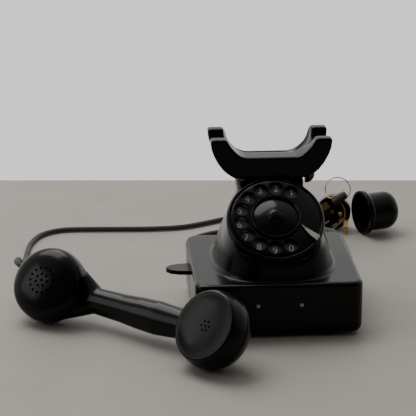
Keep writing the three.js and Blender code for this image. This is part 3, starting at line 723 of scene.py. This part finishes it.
def cradle_outline():
    """Front view of the cradle. Its right half runs up the outside, over a horn and down to the saddle."""
    outer = [(34, CRADLE["bottom"]), (38.5, 128), (43.6, 132), (49, 139), (53, 146.7), (55.3, 153.4),
             (56, 160.6), (54.6, CRADLE["horn_top"])]
    inner = [(42.4, CRADLE["horn_top"]), (40.6, 161.2), (39.2, 158.4), (36.4, 154), (32, 149.2),
             (28.6, 146.4), (24, CRADLE["saddle"])]
    right = outer + inner
    return right + [(-x, z) for x, z in reversed(right)]


def make_cradle():
    upright = shift(0, CRADLE["rear"], 0) @ turn(90, "X")
    yoke = slab("cradle_yoke", cradle_outline(), 0, CRADLE["rear"] - CRADLE["front"], upright)
    middle = (CRADLE["front"] + CRADLE["rear"]) / 2
    union(yoke, [hull("lug", ball(32.8, 20.5, 125.5, 8.7, 20))])
    rear_hollow = hull("rear_hollow", ball(-16.5, 48, 160, 24.4, 40) + ball(16.5, 48, 160, 24.4, 40))
    radius = 14
    centre = CRADLE["notch"] + radius
    trough_profile = [(0, -80), (radius, -80), (radius, 80), (0, 80)]
    trough = turned("trough", trough_profile, shift(0, middle, centre) @ turn(90, "Y"))
    above = box("above", (-80, middle - radius, centre), (80, middle + radius, centre + 30))
    cut(yoke, [rear_hollow, trough, above])
    moulded(yoke, 0.8, 24)
    play = 1.2
    socket_outline = rounded_outline(2 * NECK["half_width"] + play, NECK["rear"] - NECK["front"] + play, 16)
    socket = slab("socket", socket_outline, 100, 134, shift(0, (NECK["front"] + NECK["rear"]) / 2, 0))
    neck_room = box("neck_room", (-32.2, 4, 113), (32.2, 64, CRADLE["bottom"]))
    dress(cut(yoke, [socket, neck_room]), "bakelite", "cradle", "cradle")


make_cradle()

# ---------- dial ----------


def make_dial():
    bezel = [(41.3, 0.3), (44.3, 0.3), (DIAL["bezel"], 1.6), (44.2, 3), (43.4, 4), (42.4, 4.4), (41.6, 4.2),
             (41.3, 3.6), (41.3, 0.3)]
    dress(turned("dial_bezel_ring", bezel, ON_DIAL, 128), "bakelite", "telephone", "dial_bezel")
    ring = [(20.6, 5.2), (20.6, 7.7), (21.1, 8.2), (22, 8.2), (DIAL["hub"], 7.7), (DIAL["hub"], 5.2)]
    rim = [(39.4, 5.2), (40, 4.9), (DIAL["wheel"], 4.3), (DIAL["wheel"], 3)]
    wheel = turned("finger_wheel_disc", [(5, 3), (5, 5.2), *ring, *rim, (5, 3)], ON_DIAL, 128)
    holes = []
    for i in range(10):
        where = turn(FINGER_HOLE["first"] + i * FINGER_HOLE["step"], "Z") @ shift(FINGER_HOLE["circle"], 0, 0)
        radius = FINGER_HOLE["radius"]
        hole_profile = [(0, 2), (radius, 2), (radius, 7), (0, 7)]
        holes.append(turned("hole", hole_profile, ON_DIAL @ where, 40))
    dress(eased(cut(wheel, holes), 0.5), "bakelite", "dial", "finger_wheel")
    hub = [(0, 5.5), (20.1, 5.5), (20.1, 6.6), (19.7, 7), (8.2, 7), (7.5, 7.3), (7.2, 8.4), (6.4, 9.6),
           (5, 10.4), (2.6, 10.9), (0, 11)]
    dress(turned("hub_disc_cap", hub, ON_DIAL), "bakelite", "dial", "hub_disc")
    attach(make_numerals(), "telephone")


def make_numerals():
    """White upright numerals on the plate, in the outer half of each finger hole."""
    numerals = []
    for i, text in enumerate("1234567890"):
        angle = math.radians(FINGER_HOLE["first"] + i * FINGER_HOLE["step"])
        curve = bpy.data.curves.new("numeral_" + text, "FONT")
        curve.body = text
        curve.size = NUMERAL["size"] * MM
        curve.extrude = NUMERAL["thickness"] * MM
        curve.align_x = "CENTER"
        curve.align_y = "CENTER"
        numeral = bpy.data.objects.new("numeral_" + text, curve)
        bpy.context.collection.objects.link(numeral)
        x, y = NUMERAL["circle"] * math.cos(angle), NUMERAL["circle"] * math.sin(angle)
        numeral.matrix_world = TO_ROW @ ON_DIAL @ shift(x, y, NUMERAL["height"]) @ Matrix.Scale(1 / MM, 4)
        numerals.append(numeral)
    bpy.ops.object.select_all(action="DESELECT")
    for numeral in numerals:
        numeral.select_set(True)
    bpy.context.view_layer.objects.active = numerals[0]
    bpy.ops.object.convert(target="MESH")
    bpy.ops.object.join()
    joined = bpy.context.view_layer.objects.active
    joined.name = "numerals"
    joined.data.materials.clear()
    joined.data.materials.append(NUMERAL_PAINT_AND_SHADE)
    return joined


make_dial()

# ---------- handset ----------

# Each station of the handle is (place along it, radius).
HANDLE_STATIONS = [(-84, 5), (-80, 9.6), (-66, 11.5), (-45, 12.4), (-20, 13.2), (0, 14.8), (20, 15.6),
                   (44, 13.6), (66, 12.4), (80, 10), (84, 5)]


def handle_radius(x):
    index = max(i for i in range(len(HANDLE_STATIONS) - 1) if HANDLE_STATIONS[i][0] <= x)
    (start, start_radius), (end, end_radius) = HANDLE_STATIONS[index:index + 2]
    return start_radius + (end_radius - start_radius) * (x - start) / (end - start)


def handle_ring(x, radius, sides, lift=0.0):
    """A ring round the handle, which is flatter from front to back than across."""
    depth = HANDSET["handle_depth"] + lift
    return [(x, y, HANDLE["flatness"] * z - depth) for y, z, _ in circle(radius, 0, sides)]


def make_handle():
    """The handle and the backs of both cups as one moulding, bored out behind the caps."""
    half_length = HANDLE["half_length"]
    rings = []
    for i in range(half_length + 1):
        x = 2 * i - half_length
        bow = HANDLE["bow"] * (1 - (x / half_length) ** 2)
        rings.append(handle_ring(x, handle_radius(x), 48, bow))
    handle = loft("handset_shell", rings, ON_HANDSET)
    mouth = CUP["edge"] - GAP
    cup_back = [(0, -39), (10, -38.6), (17, -37.2), (23, -34.9), (28, -31.5), (31.2, -27.6), (33.3, -23.2),
                (34.5, -19), (CUP["radius"], mouth), (0, mouth)]
    union(handle, [turned("cup", cup_back, ON_HANDSET @ onto_cup(side)) for side in (-1, 1)])
    union(handle, [shoulder(side) for side in (-1, 1)])
    moulded(handle, 0.9, 18)
    for side in (-1, 1):
        around = ON_HANDSET @ onto_cup(side)
        bore = turned("bore", [(0, -30), (28.4, -30), (28.4, -5), (0, -5)], around)
        face = turned("face", [(0, mouth), (38, mouth), (38, -5), (0, -5)], around)
        cut(handle, [bore, face])
    dress(handle, "bakelite", "handset", "handset_body")


def shoulder(side):
    """The skin that runs from the back of a cup down to the handle."""
    around = onto_cup(side)
    points = []
    for radius, depth in ((20, -35.5), (26, -32), (30, -28), (33, -21)):
        points += [around @ Vector(point) for point in circle(radius, depth, 64)]
    for x in (52, 50):
        points += handle_ring(side * x, 12.2, 48, 1.9)
    return hull("shoulder", points, ON_HANDSET)


def make_caps():
    edge, seat = CUP["edge"], CUP["seat"]
    side_wall = [(33.9, -8), (34.5, -11), (CUP["radius"], -14), (CUP["radius"], edge + 0.4), (34.4, edge),
                 (29, edge), (29, seat), (0, seat)]
    mouth = [(0, 4), (6, 3.85), (12, 3.3), (18, 2.3), (23, 1.1), (27, -0.4), (29.6, -1.8), (31.6, -3.6),
             (33, seat)]
    mouth_holes = [(0, 1, 0), (5.6, 7, 0), (11.6, 14, 11.5)]
    make_cap("mouthpiece_cap_shell", mouth + side_wall, -1, mouth_holes, 1.25, "mouthpiece_cap")
    ear = [(0, -2.6), (8, -2.5), (16, -2.2), (22, -1.5), (26.6, -0.5), (28.4, 0), (29.6, 0.1), (30.6, -0.2),
           (31.4, -1), (32.2, -2.6), (33, -5)]
    ear_holes = [(0, 1, 0), (4.4, 6, 0)]
    make_cap("earpiece_cap_shell", ear + side_wall, 1, ear_holes, 1.1, "earpiece_cap")


def make_cap(name, profile, side, rings, radius, node):
    """A screwed cap with rings of sound holes: each ring is (circle radius, holes, first angle)."""
    matrix = ON_HANDSET @ onto_cup(side)
    cap = turned(name, profile, matrix, 128)
    hole_profile = [(0, -9), (radius, -9), (radius, 6), (0, 6)]
    cutters = []
    for distance, count, first in rings:
        for i in range(count):
            where = turn(first + 360 * i / count, "Z") @ shift(distance, 0, 0)
            cutters.append(turned("sound_hole", hole_profile, matrix @ where, 20))
    dress(eased(cut(cap, cutters), 0.2, 35), "bakelite", "handset", node)


make_handle()
make_caps()

# ---------- opened plug ----------


def make_plug():
    depth, radius = PLUG["depth"], PLUG["radius"]
    insert = [(0, -depth), (radius - 1, -depth), (radius, 1 - depth), (radius, -1), (radius - 0.3, -0.3),
              (radius - 1, 0), (radius - 3.4, 0), (radius - 3.8, -0.3), (radius - 4, -2.4), (0, -2.4)]
    dress(turned("plug_insert_disc", insert, ON_PLUG), "bakelite", "telephone", "plug_insert")
    flange, body, length = COVER["flange"], COVER["body"], COVER["length"]
    outside = [(20, 0), (flange - 0.5, 0), (flange, 0.5), (flange, 4), (flange - 0.7, 4.7), (body + 0.6, 6.2),
               (body, 8), (body, 26)]
    end = [(19.4, 29.6), (17.6, 33.4), (14.8, 36.2), (11, 38.2), (8.4, 38.8), (8, length), (4.8, length),
           (4.4, length - 0.4), (4.4, length - 3.4)]
    inside = [(11.4, 33.4), (15, 28.6), (16.6, 22), (16.6, 3.2), (20, 3.2), (20, 0)]
    shell = turned("plug_cover_shell", [*outside, *end, *inside], ON_COVER)
    dress(eased(shell, 0.25, 40), "bakelite", "plug_cover", "plug_cover")


make_plug()

for name in ("finger_stop", "volume_lever", "terminal_clamp", "terminal_post", "contact_strip"):
    eased(frame["nodes"][name], 0.3)

# ---------- table and light ----------


def make_table():
    """A table top whose rear edge lies square to the camera."""
    reach, edge = TABLE["reach"], TABLE["edge"]
    corners = [(-reach, -reach, 0), (reach, -reach, 0), (reach, edge, 0), (-reach, edge, 0)]
    table = piece("table", corners, [[0, 1, 2, 3]], turn(TABLE["turn"], "Z"))
    table.data.materials.append(make_floor())


def area_light(name, position, target, width, depth, power, color):
    data = bpy.data.lights.new(name, "AREA")
    data.shape = "RECTANGLE"
    data.size, data.size_y, data.energy, data.color = width, depth, power, color
    light = bpy.data.objects.new(name, data)
    bpy.context.collection.objects.link(light)
    light.location = place(*position)
    light.rotation_euler = (place(*target) - light.location).to_track_quat("-Z", "Y").to_euler()


def make_world():
    """A studio with a lit wall behind the telephone that falls off to a dim room in front of it."""
    world = bpy.data.worlds.new("studio")
    world.use_nodes = True
    tree = world.node_tree
    direction = tree.nodes.new("ShaderNodeSeparateXYZ")
    tree.links.new(tree.nodes.new("ShaderNodeTexCoord").outputs["Generated"], direction.inputs["Vector"])
    level = tree.nodes.new("ShaderNodeMapRange")
    ends = (("From Min", -0.5), ("From Max", 0.7), ("To Min", ROOM["dim"]), ("To Max", ROOM["lit"]))
    for name, value in ends:
        level.inputs[name].default_value = value
    tree.links.new(direction.outputs["Y"], level.inputs["Value"])
    background = tree.nodes["Background"]
    background.inputs["Color"].default_value = (1.0, 1.0, 0.985, 1)
    tree.links.new(level.outputs["Result"], background.inputs["Strength"])
    bpy.context.scene.world = world


make_table()
make_world()
area_light("overhead", (-500, 700, 1500), (-60, 40, 0), 1.3, 1.0, 20, (1.0, 0.99, 0.97))
area_light("left_side", (-1700, -300, 900), (-60, 0, 60), 0.9, 0.9, 5, (1.0, 0.98, 0.95))
